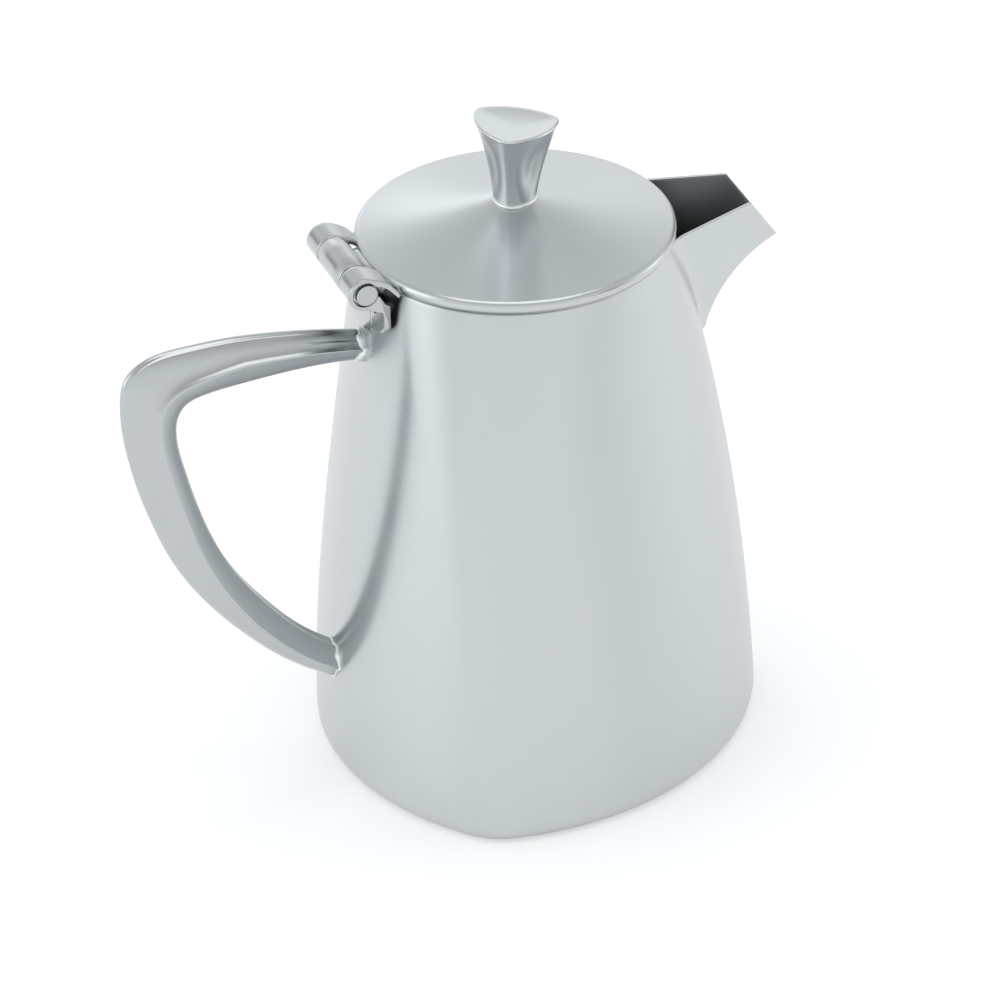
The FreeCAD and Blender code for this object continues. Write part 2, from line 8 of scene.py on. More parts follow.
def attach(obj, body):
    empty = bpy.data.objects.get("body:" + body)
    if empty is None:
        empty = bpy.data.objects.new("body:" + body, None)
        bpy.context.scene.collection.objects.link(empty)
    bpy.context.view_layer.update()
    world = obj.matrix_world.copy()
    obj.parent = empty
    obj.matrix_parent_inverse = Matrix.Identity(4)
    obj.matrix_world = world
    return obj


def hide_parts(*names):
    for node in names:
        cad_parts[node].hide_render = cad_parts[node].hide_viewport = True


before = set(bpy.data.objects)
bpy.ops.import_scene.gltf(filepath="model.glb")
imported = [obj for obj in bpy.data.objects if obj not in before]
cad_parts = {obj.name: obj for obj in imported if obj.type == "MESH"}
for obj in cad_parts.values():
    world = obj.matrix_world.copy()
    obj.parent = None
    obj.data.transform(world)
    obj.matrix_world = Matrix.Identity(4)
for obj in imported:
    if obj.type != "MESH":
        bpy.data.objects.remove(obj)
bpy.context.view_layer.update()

# All shapes below are written in millimetres in the row frame and turned into metres as meshes are made.
MM = 0.001


# ---------------------------------------------------------------- mesh helpers

def make_piece(name, points, faces, material, sharp=None, groups=None):
    """A smooth-shaded mesh object from points in millimetres. groups gives each face its material slot."""
    mesh = bpy.data.meshes.new(name)
    mesh.from_pydata((np.asarray(points, float) * MM).tolist(), [], faces)
    for one in material if isinstance(material, (list, tuple)) else [material]:
        mesh.materials.append(one)
    if groups is not None:
        mesh.polygons.foreach_set("material_index", np.asarray(groups, np.int32))
    mesh.update()
    mesh.shade_smooth()
    if sharp is not None:
        mesh.set_sharp_from_angle(angle=math.radians(sharp))
    thing = bpy.data.objects.new(name, mesh)
    bpy.context.scene.collection.objects.link(thing)
    return thing


def place(piece, body, nodes):
    """The piece rides on a body and stands for CAD nodes, which are hidden."""
    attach(piece, body)
    if nodes:
        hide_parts(*nodes)
    return piece


def loop_faces(rows, columns, start=0, closed_rows=False):
    """Quads of a grid whose columns run round a closed loop; closed_rows joins the last row to the first."""
    faces = []
    last = rows if closed_rows else rows - 1
    for row in range(last):
        here = start + row * columns
        above = start + ((row + 1) % rows) * columns
        for column in range(columns):
            following = (column + 1) % columns
            faces.append((here + column, here + following, above + following, above + column))
    return faces


def lathe(profile, segments, centre, axis="Z"):
    """A closed surface of revolution. Profile points are (radius, along); radius 0 at both ends closes it."""
    rounds = [point for point in profile if point[0] > 0.0]
    turns = np.arange(segments) * 2.0 * math.pi / segments
    rings = []
    for radius, along in rounds:
        across = np.stack([radius * np.cos(turns), radius * np.sin(turns), np.full(segments, along)], 1)
        if axis == "Y":
            across = np.stack([across[:, 0], across[:, 2], -across[:, 1]], 1)
        rings.append(across)
    points = np.concatenate(rings)
    ends = [point for point in profile if point[0] <= 0.0]
    faces = loop_faces(len(rounds), segments, closed_rows=not ends)
    if ends:
        for row, end in ((0, ends[0]), (len(rounds) - 1, ends[-1])):
            tip = (0.0, end[1], 0.0) if axis == "Y" else (0.0, 0.0, end[1])
            points = np.concatenate([points, [tip]])
            pole = len(points) - 1
            base = row * segments
            for column in range(segments):
                pair = (base + column, base + (column + 1) % segments)
                faces.append((pole, pair[1], pair[0]) if row == 0 else (pole, pair[0], pair[1]))
    return points + np.asarray(centre, float), faces


def outward(points, faces):
    """The faces turned so that the closed mesh's volume is positive."""
    spots = np.asarray(points, float)
    volume = 0.0
    for face in faces:
        a = spots[face[0]]
        for one, two in zip(face[1:], face[2:]):
            volume += np.dot(a, np.cross(spots[one], spots[two]))
    return faces if volume > 0 else [tuple(reversed(face)) for face in faces]


def rounded_outline(corners, closed=True, steps=5):
    """Points of a polygon whose corners, given as (x, y, share), are eased by a share of their edges."""
    count = len(corners)
    made = []
    for index in range(count):
        x, y, share = corners[index]
        here = np.array([x, y])
        if not closed and index in (0, count - 1):
            made.append(here)
            continue
        before = np.array(corners[index - 1][:2])
        after = np.array(corners[(index + 1) % count][:2])
        start = here + (before - here) * 0.5 * share
        end = here + (after - here) * 0.5 * share
        for step in range(steps + 1):
            t = step / steps
            made.append((1 - t) ** 2 * start + 2 * t * (1 - t) * here + t ** 2 * end)
    return np.array(made)


def spline(knots, values, at):
    """Natural cubic interpolation of values, one row per knot, at the given places."""
    knots = np.asarray(knots, float)
    values = np.asarray(values, float)
    count = len(knots)
    gap = np.diff(knots)
    system = np.eye(count)
    right = np.zeros_like(values)
    for i in range(1, count - 1):
        system[i, i - 1] = gap[i - 1]
        system[i, i] = 2 * (gap[i - 1] + gap[i])
        system[i, i + 1] = gap[i]
        right[i] = 6 * ((values[i + 1] - values[i]) / gap[i] - (values[i] - values[i - 1]) / gap[i - 1])
    bend = np.linalg.solve(system, right)
    cell = np.clip(np.searchsorted(knots, at) - 1, 0, count - 2)
    h = gap[cell][:, None]
    a = ((knots[cell + 1] - at)[:, None]) / h
    b = 1 - a
    return (
        a * values[cell] + b * values[cell + 1]
        + ((a ** 3 - a) * bend[cell] + (b ** 3 - b) * bend[cell + 1]) * h ** 2 / 6
    )


# ------------------------------------------------------------------- materials

def node(tree, kind, **settings):
    made = tree.nodes.new(kind)
    for key, value in settings.items():
        if key in made.inputs:
            made.inputs[key].default_value = value
        else:
            setattr(made, key, value)
    return made


def math_node(tree, operation, first, second=None):
    made = tree.nodes.new("ShaderNodeMath")
    made.operation = operation
    for socket, value in zip(made.inputs, (first, second)):
        if value is None:
            continue
        if isinstance(value, (int, float)):
            socket.default_value = value
        else:
            tree.links.new(value, socket)
    return made.outputs[0]


def product(tree, first, second):
    return math_node(tree, "MULTIPLY", first, second)


def total(tree, first, second):
    return math_node(tree, "ADD", first, second)


def centred(tree, value):
    """A noise value moved to run both sides of zero."""
    return math_node(tree, "SUBTRACT", value, 0.5)


# Grain lines for each radian round a turned piece, and for each mm across its grain.
TURNED_ROUND, TURNED_ACROSS = 2.2, 2.4
# Grain lines for each mm along and across the grain of sheet.
SHEET_ALONG, SHEET_ACROSS = 0.25, 3.0
# How far the clouds and the grain move the colour and the roughness.
CLOUD_SHADE, GRAIN_SHADE = 0.048, 0.05
CLOUD_ROUGHNESS, GRAIN_ROUGHNESS = 0.09, 0.12
# Pointiness at which an edge starts to look rubbed and is fully rubbed, and what that takes off the roughness.
RUBBED_FROM, RUBBED_FULLY, RUBBED_ROUGHNESS = 0.52, 0.62, -0.06
BUMP_STRENGTH, BUMP_DISTANCE, SPECK_HEIGHT = 0.10, 0.00012, 0.35


def steel(name, tint, roughness, grain, anisotropy, strength, centre_x=0.0):
    """Brushed stainless steel, its grain turned round the upright axis, along Y, or cast with none."""
    material = bpy.data.materials.new(name)
    material.use_nodes = True
    tree = material.node_tree
    tree.nodes.clear()
    link = tree.links.new
    out = node(tree, "ShaderNodeOutputMaterial")
    shader = node(tree, "ShaderNodeBsdfPrincipled")
    shader.inputs["Metallic"].default_value = 1.0
    shader.inputs["Anisotropic"].default_value = anisotropy
    link(shader.outputs[0], out.inputs[0])

    place_in = node(tree, "ShaderNodeTexCoord").outputs["Object"]
    axes = node(tree, "ShaderNodeSeparateXYZ")
    link(place_in, axes.inputs[0])
    x_mm = math_node(tree, "SUBTRACT", product(tree, axes.outputs[0], 1.0 / MM), centre_x)
    y_mm = product(tree, axes.outputs[1], 1.0 / MM)
    z_mm = product(tree, axes.outputs[2], 1.0 / MM)
    if grain == "turned":
        radius = math_node(tree, "SQRT", total(tree, product(tree, x_mm, x_mm), product(tree, y_mm, y_mm)))
        turn = math_node(tree, "ARCTAN2", y_mm, x_mm)
        stretched = (
            product(tree, turn, TURNED_ROUND),
            product(tree, radius, TURNED_ACROSS),
            product(tree, z_mm, TURNED_ACROSS),
        )
    elif grain == "along":
        stretched = (
            product(tree, x_mm, SHEET_ACROSS),
            product(tree, y_mm, SHEET_ALONG),
            product(tree, z_mm, SHEET_ACROSS),
        )
    else:
        stretched = (x_mm, y_mm, z_mm)

    def grained(where, **settings):
        """A noise texture read at three coordinates."""
        joined_axes = node(tree, "ShaderNodeCombineXYZ")
        for socket, value in zip(joined_axes.inputs, where):
            link(value, socket)
        texture = node(tree, "ShaderNodeTexNoise", **settings)
        link(joined_axes.outputs[0], texture.inputs["Vector"])
        return texture.outputs[0]

    lines = grained(stretched, Scale=1.0, Detail=3.0, Roughness=0.62)
    clouds = grained((x_mm, y_mm, z_mm), Scale=0.045, Detail=3.0, Roughness=0.55)
    specks = grained((x_mm, y_mm, z_mm), Scale=1.4, Detail=2.0, Roughness=0.7)

    # Colour: a slow cloudiness and the fine grain, both faint.
    cloud_shade = product(tree, centred(tree, clouds), CLOUD_SHADE)
    grain_shade = product(tree, centred(tree, lines), GRAIN_SHADE * strength)
    level = total(tree, total(tree, cloud_shade, grain_shade), 1.0)
    colour = node(tree, "ShaderNodeVectorMath", operation="SCALE")
    colour.inputs[0].default_value = tint
    link(level, colour.inputs["Scale"])
    link(colour.outputs[0], shader.inputs["Base Color"])

    # Roughness: grain lines, slow patches, and edges rubbed a little smoother by handling.
    edge = node(tree, "ShaderNodeNewGeometry").outputs["Pointiness"]
    worn = node(tree, "ShaderNodeMapRange")
    worn.inputs["From Min"].default_value = RUBBED_FROM
    worn.inputs["From Max"].default_value = RUBBED_FULLY
    worn.inputs["To Min"].default_value = 0.0
    worn.inputs["To Max"].default_value = RUBBED_ROUGHNESS
    link(edge, worn.inputs["Value"])
    grain_depth = GRAIN_ROUGHNESS * strength
    rough = total(tree, product(tree, lines, grain_depth), roughness - 0.5 * grain_depth)
    rough = total(tree, rough, product(tree, centred(tree, clouds), CLOUD_ROUGHNESS))
    rough = total(tree, rough, worn.outputs[0])
    link(rough, shader.inputs["Roughness"])

    # Bump: the grain itself, and a faint unevenness.
    height = total(tree, lines, product(tree, specks, SPECK_HEIGHT))
    bump = node(tree, "ShaderNodeBump")
    bump.inputs["Strength"].default_value = BUMP_STRENGTH * strength
    bump.inputs["Distance"].default_value = BUMP_DISTANCE
    link(height, bump.inputs["Height"])
    link(bump.outputs[0], shader.inputs["Normal"])

    # Highlights spread across the grain: a quarter turn round the axis for turned pieces.
    if anisotropy > 0.0:
        along = grain == "along"
        shader.inputs["Anisotropic Rotation"].default_value = 0.0 if along else 0.25
        tangent = node(tree, "ShaderNodeTangent", direction_type="RADIAL", axis="Y" if along else "Z")
        link(tangent.outputs[0], shader.inputs["Tangent"])
    return material


LID_X = 0.35

# Each steel: name, tint, roughness, grain, how far its highlights are drawn out, and the strength of its grain.
satin_body = steel("satin_body", (0.578, 0.607, 0.620), 0.30, "turned", 0.8, 0.55)
# The inside steel is tinted far darker than the outside: painted shade for the dim inside of the pot and spout.
painted_shade_inside = steel("painted_shade_inside", (0.17, 0.18, 0.185), 0.34, "turned", 0.3, 0.6)
satin_lid = steel("satin_lid", (0.558, 0.586, 0.599), 0.23, "turned", 0.75, 0.35, centre_x=LID_X)
plain_steel = steel("plain_steel", (0.48, 0.50, 0.51), 0.26, "along", 0.3, 0.6)
cast_satin = steel("cast_satin", (0.500, 0.524, 0.538), 0.25, "cast", 0.0, 0.4)
knob_satin = steel("knob_satin", (0.610, 0.636, 0.650), 0.25, "cast", 0.0, 0.22)
# The weld steel is tinted much paler than the rest: a painted sheen for the bright glints on the polished
# beads.
weld_painted_sheen = steel("weld_painted_sheen", (0.84, 0.86, 0.87), 0.40, "cast", 0.0, 1.6)
sheet_satin = steel("sheet_satin", (0.50, 0.525, 0.535), 0.20, "along", 0.3, 0.5)


# ------------------------------------------------------------ body and spout

BODY_TOP = 123.0
FLARE_HEIGHT = 124.73
MOUTH = 33.92
WALL = 0.8
FOOT_ROUND = 2.9
PAN_TOP = 5.0
PAN_DISH = 0.35
LIP_TOP = np.array([52.4, 123.3])
LIP_TIP = np.array([61.2, 110.1])
KEEL_BELLY = np.array([52.3, 104.2])
KEEL_FOOT = np.array([43.9, 90.7])
LIP_HALF = 6.8
THROAT_HALF = 17.2
KEEL_ROUND = 1.2
CREASE = 3.2
# Half angles of the beak's mouth, in degrees, over which its rim runs out into the round mouth.
RIM_OUT, RIM_GONE = 23.0, 32.0
RIM_FALL = 1.3
RIM_ROOT_X = 23.03
# Plan of the body: reach of its corners and of its sides, and the rounding of its corners, as the body rises.
CORNER_FLARE, CORNER_SWELL, CORNER_EASE = 19.26, 15.46, 0.61
SIDE_FLARE, SIDE_SWELL, SIDE_EASE = 12.92, 13.12, 15.52
CORNER_ROUND, ROUND_GROWTH = 15.61, 1.56
SPOUT_LOW, SPOUT_HIGH = 72.0, 124.6
SHOULDER = 76.0
RIM_ROUND = 0.22
# Rows below the rim that are trimmed to the rim's own planes inside.
TRIMMED_ROWS = 30


def triangle_radius(corner, side, rounding, turn):
    """Polar radius of a rounded triangle with corners at 0, 120 and 240 degrees. All arguments broadcast."""
    third = 2.0 * math.pi / 3.0
    away = np.abs((turn + third / 2.0) % third - third / 2.0)
    reach = corner - rounding
    flat = side - rounding
    back = (reach ** 2 - flat ** 2) / (2.0 * flat - reach)
    back = np.maximum(back, 1e-6)
    sixty = math.pi / 3.0
    # The joint of the two arcs, seen from the axis.
    join_x = reach + back * math.cos(sixty)
    join_y = back * math.sin(sixty)
    length = np.hypot(join_x, join_y)
    touch = np.arctan2(join_y / length * rounding, reach + join_x / length * rounding)
    tip = reach * np.cos(away) + np.sqrt(np.maximum(rounding ** 2 - (reach * np.sin(away)) ** 2, 0.0))
    off = away - sixty
    flank = -back * np.cos(off) + np.sqrt(np.maximum((side + back) ** 2 - (back * np.sin(off)) ** 2, 0.0))
    return np.where(away <= touch, tip, flank)


def body_radius(turn, z):
    """Polar radius of the body's outside at a turn and a height."""
    rise = z / FLARE_HEIGHT
    left = 1.0 - rise
    corner = MOUTH + left * (CORNER_FLARE + CORNER_SWELL * rise + CORNER_EASE * rise ** 2)
    side = MOUTH + left * (SIDE_FLARE + SIDE_SWELL * rise - SIDE_EASE * rise ** 2)
    rounding = CORNER_ROUND + (MOUTH - CORNER_ROUND) * np.maximum(rise, 0.0) ** ROUND_GROWTH
    return triangle_radius(corner, side, rounding, turn)


lip_down = (LIP_TIP - LIP_TOP) / np.linalg.norm(LIP_TIP - LIP_TOP)
lip_facing = np.array([-lip_down[1], lip_down[0]])
spout_depth = float((LIP_TIP - KEEL_FOOT) @ lip_facing)


def keel_curve(gaps):
    """Side-view points of the spout's underside at distances behind the plane of the lip."""
    first = np.linalg.norm(LIP_TIP - KEEL_BELLY)
    whole = first + np.linalg.norm(KEEL_BELLY - KEEL_FOOT)
    middle = first / whole
    t = np.linspace(0.0, 1.0, 800)[:, None]
    curve = (
        LIP_TIP * (t - middle) * (t - 1.0) / middle
        + KEEL_BELLY * t * (t - 1.0) / (middle * (middle - 1.0))
        + KEEL_FOOT * t * (t - middle) / (1.0 - middle)
    )
    behind = (LIP_TIP - curve) @ lip_facing
    inside = np.clip(gaps, 0.0, behind[-1])
    spots = np.stack([np.interp(inside, behind, curve[:, 0]), np.interp(inside, behind, curve[:, 1])], 1)
    return spots - lip_facing * (gaps - inside)[:, None]


def beak_radii(turns, heights):
    """Polar radius of the V-shaped beak's outside for each height and each turn, 0 where it doesn't reach."""
    gaps = np.arange(-16.0, 52.0, 0.012)
    keel = keel_curve(gaps)
    share = gaps / spout_depth
    rim_z = LIP_TOP[1] - RIM_FALL * share
    half = LIP_HALF + (THROAT_HALF - LIP_HALF) * share
    lean = np.arctan2(half, (keel[:, 1] - rim_z) / lip_down[1])
    apex = keel + lip_down * (KEEL_ROUND * (1.0 / np.sin(lean) - 1.0))[:, None]
    centre = KEEL_ROUND / np.sin(lean)
    tangent = centre - KEEL_ROUND * np.sin(lean)
    table = np.zeros((len(heights), len(turns)))
    for row, z in enumerate(heights):
        up = (apex[:, 1] - z) / lip_down[1]
        ok = (up >= centre - KEEL_ROUND) & (half > 0.5)
        rounded = np.sqrt(np.maximum(KEEL_ROUND ** 2 - (up - centre) ** 2, 0.0))
        y = np.where(up < tangent, rounded, up * np.tan(lean))[ok]
        x = (apex[:, 0] - lip_down[0] * up)[ok]
        far = x > 5.0
        if not far.any():
            continue
        seen = np.arctan2(y[far], x[far])
        seen, order = np.unique(seen, return_index=True)
        table[row] = np.interp(np.abs(turns), seen, np.hypot(x, y)[far][order], right=0.0)
    return table


def smooth_max(a, b, width):
    """The larger of two values, blended where they are within a width of each other."""
    mix = np.clip(0.5 + 0.5 * (a - b) / width, 0.0, 1.0)
    return b * (1.0 - mix) + a * mix + width * mix * (1.0 - mix)


def pot_columns():
    """Turns of the grid's columns, close together on the keel and round the spout."""
    near = np.concatenate([np.arange(0.0, 1.6, 0.12), np.arange(1.6, 8.0, 0.32), np.arange(8.0, 36.0, 0.42)])
    rest = np.linspace(36.0, 180.0, 190)[:-1]
    half = np.concatenate([near, rest])
    return np.radians(np.concatenate([half, [180.0], 360.0 - half[1:][::-1]]))


def make_pot():
    """Grids of the pot's outside and inside, the rounded rim between them, and the row of the pan's joint."""
    turns = pot_columns()
    signed = (turns + math.pi) % (2 * math.pi) - math.pi
    columns = len(turns)
    heights = np.arange(SPOUT_LOW, SPOUT_HIGH, 0.12)
    beak = beak_radii(signed, heights)

    def radius(z):
        """Outside radius for a whole row or grid of heights, one column per turn."""
        body = body_radius(turns, z)
        spout = np.stack([np.interp(z[:, j], heights, beak[:, j], left=0.0) for j in range(columns)], 1)
        return smooth_max(body, spout, CREASE)

    # Top of each column: the lip's plane near the keel, the falling rim of the beak, then the round mouth.
    reach = np.abs(signed)
    along = (LIP_TOP[0] * np.tan(reach) - LIP_HALF) / (
        (THROAT_HALF - LIP_HALF) + (LIP_TOP[0] - RIM_ROOT_X) * np.tan(reach))
    rim = LIP_TOP[1] - RIM_FALL * np.clip(along, 0.0, 1.0)
    ease = np.clip((np.degrees(reach) - RIM_OUT) / (RIM_GONE - RIM_OUT), 0.0, 1.0)
    ease = ease * ease * (3.0 - 2.0 * ease)
    uncut = rim * (1.0 - ease) + BODY_TOP * ease
    low = np.full(columns, 100.0)
    high = np.full(columns, 124.5)
    level = float(LIP_TIP @ lip_facing)
    for _ in range(40):
        middle = 0.5 * (low + high)
        r = radius(middle[None, :])[0]
        beyond = r * np.cos(signed) * lip_facing[0] + middle * lip_facing[1] > level
        high = np.where(beyond, middle, high)
        low = np.where(beyond, low, middle)
    top = np.minimum(uncut, low)

    # Rows: the foot's fillet, level rows up to the shoulder of the spout, then rows that close on the top.
    slope = (body_radius(turns, np.full(columns, 2.0)) - body_radius(turns, np.full(columns, 6.0))) / 4.0
    end = np.arctan(slope)
    foot = []
    base = body_radius(turns, np.zeros(columns))
    for step in range(11):
        swing = -math.pi / 2 + (end + math.pi / 2) * step / 10.0
        z = FOOT_ROUND * (1.0 + np.sin(swing))
        hub = base - slope * FOOT_ROUND - FOOT_ROUND * np.sqrt(1.0 + slope ** 2)
        foot.append((hub + FOOT_ROUND * np.cos(swing), z))
    levels = [np.full(columns, z) for z in (3.6, 4.3, PAN_TOP)]
    levels += [np.full(columns, z) for z in np.linspace(PAN_TOP, SHOULDER, 62)[1:]]
    levels += [SHOULDER + (top - SHOULDER) * share for share in np.linspace(0.0, 1.0, 84)[1:]]
    z_grid = np.array(levels)
    r_grid = radius(z_grid)
    z_all = np.concatenate([[z for _, z in foot], z_grid])
    r_all = np.concatenate([[r for r, _ in foot], r_grid])
    outer = np.stack([r_all * np.cos(turns), r_all * np.sin(turns), z_all], 2)
    pan_row = len(foot) + 2

    # Inside: the outside moved in along its normals, then each column trimmed back to its own top plane.
    along_row = np.roll(outer, -1, 1) - np.roll(outer, 1, 1)
    up = np.gradient(outer, axis=0)
    normal = np.cross(along_row, up)
    normal /= np.linalg.norm(normal, axis=2)[:, :, None]
    inner = outer - normal * WALL
    for j in range(columns):
        column = inner[:, j]
        if top[j] < uncut[j] - 1e-6:
            reached = column[:, 0] * lip_facing[0] + column[:, 2] * lip_facing[1]
            goal = level
        else:
            reached = column[:, 2]
            goal = top[j]
        first = len(outer) - TRIMMED_ROWS
        piece = column[first:]
        gone = reached[first:]
        step = (piece[-1] - piece[-2]) / max(gone[-1] - gone[-2], 1e-6)
        gone_far = np.append(gone, gone[-1] + 3.0)
        piece_far = np.vstack([piece, piece[-1] + step * 3.0])
        want = gone[0] + (goal - gone[0]) * np.linspace(0.0, 1.0, len(piece))
        order = np.maximum.accumulate(gone_far)
        inner[first:, j] = np.stack([np.interp(want, order, piece_far[:, k]) for k in range(3)], 1)

    # A small round on both edges of the rim.
    edge = RIM_ROUND
    over = inner[-1] - outer[-1]
    over /= np.linalg.norm(over, axis=1)[:, None]
    rise_out = outer[-1] - outer[-2]
    rise_out /= np.linalg.norm(rise_out, axis=1)[:, None]
    rise_in = inner[-1] - inner[-2]
    rise_in /= np.linalg.norm(rise_in, axis=1)[:, None]
    crown = [
        outer[-1] - rise_out * edge,
        outer[-1] + (over - rise_out) * edge * 0.29,
        outer[-1] + over * edge,
        inner[-1] - over * edge,
        inner[-1] - (over + rise_in) * edge * 0.29,
        inner[-1] - rise_in * edge,
    ]
    return outer, inner, np.array(crown), pan_row


def pot_pieces():
    """The wall with its beak, and the base pan, cut from the same skin."""
    outer, inner, crown, pan_row = make_pot()
    columns = outer.shape[1]
    # Wall and spout: outside up, over the rim, inside down, closed along the joint with the pan.
    grid = np.concatenate([outer[pan_row:-1], crown, inner[pan_row:-1][::-1]])
    rows = len(grid)
    faces = loop_faces(rows, columns, closed_rows=True)
    outside_rows = len(outer) - 1 - pan_row + 4
    groups = [0 if index // columns < outside_rows else 1 for index in range(len(faces))]
    # Inside faces take the darkened steel, painted shade.
    finishes = [satin_body, painted_shade_inside]
    wall = make_piece("pot_wall_and_spout", grid.reshape(-1, 3), faces, finishes, None, groups)

    # Pan: flat underside with a shallow step, fillet, short wall, and the same again inside.
    under = []
    hub = outer[0]
    for share, z in (
        (0.06, PAN_DISH), (0.30, PAN_DISH), (0.60, PAN_DISH), (0.84, PAN_DISH),
        (0.865, 0.30), (0.885, 0.05), (0.91, 0.0), (0.96, 0.0),
    ):
        ring = hub * share
        ring[:, 2] = z
        under.append(ring)
    floor = []
    hub_in = inner[0]
    for share, rise in ((0.97, 0.0), (0.85, 0.3), (0.6, 1.0), (0.3, 1.0), (0.06, 1.0)):
        ring = hub_in * share
        ring[:, 2] = WALL + PAN_DISH * rise
        floor.append(ring)
    pan = np.concatenate([np.array(under), outer[:pan_row + 1], inner[:pan_row + 1][::-1], np.array(floor)])
    rows = len(pan)
    points = pan.reshape(-1, 3)
    faces = loop_faces(rows, columns)
    inside_from = len(under) + pan_row + 1
    # Inside faces of the pan take the darkened steel too, painted shade.
    groups = [0 if index // columns < inside_from else 1 for index in range(len(faces))]
    points = np.concatenate([points, [[0.0, 0.0, PAN_DISH], [0.0, 0.0, WALL + PAN_DISH]]])
    for column in range(columns):
        following = (column + 1) % columns
        faces.append((len(points) - 2, following, column))
        faces.append((len(points) - 1, (rows - 1) * columns + column, (rows - 1) * columns + following))
        groups += [0, 1]
    base = make_piece("pot_base_pan", points, faces, finishes, None, groups)

    # The joint doesn't show: both pieces carry the normals of the unbroken skin along it.
    skin = np.concatenate([outer, inner[::-1]])
    tangent_row = np.roll(skin, -1, 1) - np.roll(skin, 1, 1)
    skin_normal = np.cross(tangent_row, np.gradient(skin, axis=0))
    skin_normal /= np.linalg.norm(skin_normal, axis=2)[:, :, None]
    joint_out = skin_normal[pan_row]
    joint_in = skin_normal[len(skin) - 1 - pan_row]
    for piece, out_row, in_row in (
        (wall, 0, len(grid) - 1),
        (base, len(under) + pan_row, inside_from),
    ):
        normals = np.zeros(len(piece.data.vertices) * 3, np.float32)
        piece.data.vertices.foreach_get("normal", normals)
        normals = normals.reshape(-1, 3)
        normals[out_row * columns:(out_row + 1) * columns] = joint_out
        normals[in_row * columns:(in_row + 1) * columns] = joint_in
        piece.data.normals_split_custom_set_from_vertices(normals.tolist())
    place(wall, "pot", ["body_wall", "spout"])
    place(base, "pot", ["base_pan"])


# ------------------------------------------------------------------------ lid

LID_CROWN = 132.6
LID_EDGE_LOW = 123.3
LID_EDGE_HIGH = 126.0
ROLL_RADIUS = 1.35
ROLL_CENTRE = 33.65
CROWN_RADIUS = 5.0
LID_SAG = 0.7


def lid_top(radius):
    """Height of the lid's upper face: a flat crown, then a slightly hollow cone, eased into each other."""
    share = np.clip((radius - CROWN_RADIUS) / (ROLL_CENTRE - CROWN_RADIUS), 0.0, 1.0)
    straight = LID_CROWN + (LID_EDGE_HIGH - LID_CROWN) * share
    hollow = LID_SAG * 4.0 * share * (1.0 - share)
    eased_edge = 0.175 * np.exp(-((radius - 5.5) / 2.5) ** 2)
    return straight - hollow - eased_edge


def make_lid():
    """The lid's cover with its rolled rim, and the locating ring below it."""
    profile = [(0.0, float(lid_top(0.0)))]
    for radius in np.concatenate([np.linspace(1.0, 8.0, 10), np.linspace(8.0, ROLL_CENTRE, 34)[1:]]):
        profile.append((float(radius), float(lid_top(radius))))
    centre_z = 0.5 * (LID_EDGE_LOW + LID_EDGE_HIGH)
    for step in range(1, 13):
        swing = math.pi / 2 - 0.86 * math.pi * step / 12.0
        drop = ROLL_RADIUS if step <= 6 else 1.62
        profile.append((ROLL_CENTRE + ROLL_RADIUS * math.cos(swing), centre_z + drop * math.sin(swing)))
    profile += [(34.3, 123.02), (34.22, 123.2), (34.2, 123.9), (33.9, 124.5), (33.2, 125.0), (32.3, 125.25)]
    for radius in np.linspace(31.0, 1.0, 24):
        profile.append((float(radius), float(lid_top(radius)) - WALL))
    profile.append((0.0, float(lid_top(0.0)) - WALL))
    points, faces = lathe(profile, 288, (LID_X, 0, 0))
    lid = make_piece("lid_cover_skin", points, outward(points, faces), satin_lid)
    place(lid, "lid", ["lid_cover"])

    ring = [(32.6, 119.75), (32.58, 119.6), (32.45, 119.5), (32.15, 119.5), (32.03, 119.6), (32.0, 119.75),
            (32.0, 122.0), (32.0, 124.1), (31.9, 124.45), (31.6, 124.65), (30.9, 124.85), (29.2, 125.25),
            (29.0, 125.4), (29.1, 125.75), (29.4, 125.82), (30.9, 125.4), (31.9, 125.15), (32.35, 124.85),
            (32.6, 124.3), (32.6, 122.0)]
    points, faces = lathe(ring, 224, (LID_X, 0, 0))
    locating = make_piece("lid_locating_ring", points, outward(points, faces), plain_steel, 50)
    place(locating, "lid", ["lid_ring"])


# The knob's plan at its foot and its growth to the top: corners, sides, and the corners' rounding.
KNOB_CORNER, KNOB_SIDE, KNOB_ROUND = (5.1, 5.1), (4.45, 3.75), (2.4, 0.9)
KNOB_HEIGHT = 17.7
KNOB_FLARE = 1.3
KNOB_LEAN = 0.5
KNOB_SCOOP = 1.2
KNOB_EDGE = 0.45
KNOB_DISH = 0.75
TILT_FORWARD, TILT_ASIDE = 0.104, 0.021


